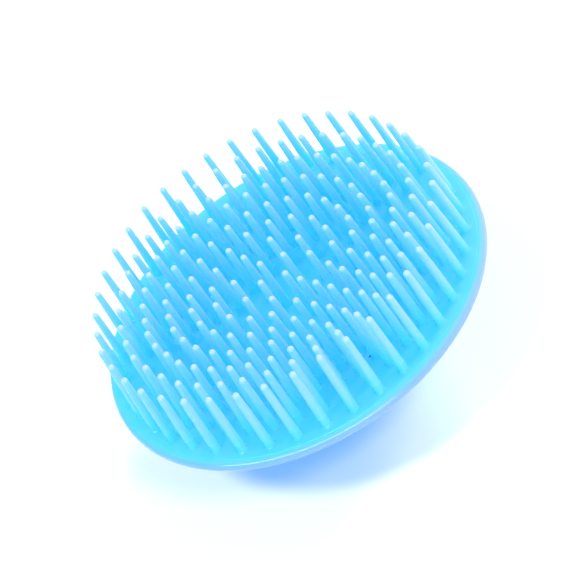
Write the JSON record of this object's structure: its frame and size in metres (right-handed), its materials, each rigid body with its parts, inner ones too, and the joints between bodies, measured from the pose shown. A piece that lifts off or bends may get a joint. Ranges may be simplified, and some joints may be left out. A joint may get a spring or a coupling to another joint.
{
  "type": "scalp massager brush",
  "caption": "Round scalp massager brush: dished face with rings of slim round-tipped bristles, rounded rim bead, thin back shell and a waisted finger grip with a flat foot.",
  "frame": {"origin": "centre of the grip's flat foot, the lowest face of the brush", "axes": "+Z along the bristles, away from the foot; +X through one bristle of every ring"},
  "size_m": [0.0884, 0.0884, 0.039],
  "materials": {
    "face_plastic": "soft translucent light-blue plastic, satin gloss",
    "bristle_plastic": "the same plastic, paler where it is thin, glossy round tips",
    "back_plastic": "translucent light-blue plastic, glossy with a fine moulded grain",
    "screw_steel": "plain stainless steel"
  },
  "bodies": {
    "root": {"bristle_plate": "face_plastic", "bristle_ring_1": "bristle_plastic", "bristle_ring_2": "bristle_plastic", "bristle_ring_3": "bristle_plastic", "bristle_ring_4": "bristle_plastic", "bristle_ring_5": "bristle_plastic", "bristle_ring_6": "bristle_plastic", "bristle_ring_7": "bristle_plastic", "bristle_ring_8": "bristle_plastic", "back_shell": "back_plastic", "heat_stakes": "face_plastic", "grip_body": "back_plastic", "grip_screw": "screw_steel", "foot_cap": "back_plastic"}
  },
  "joints": []
}
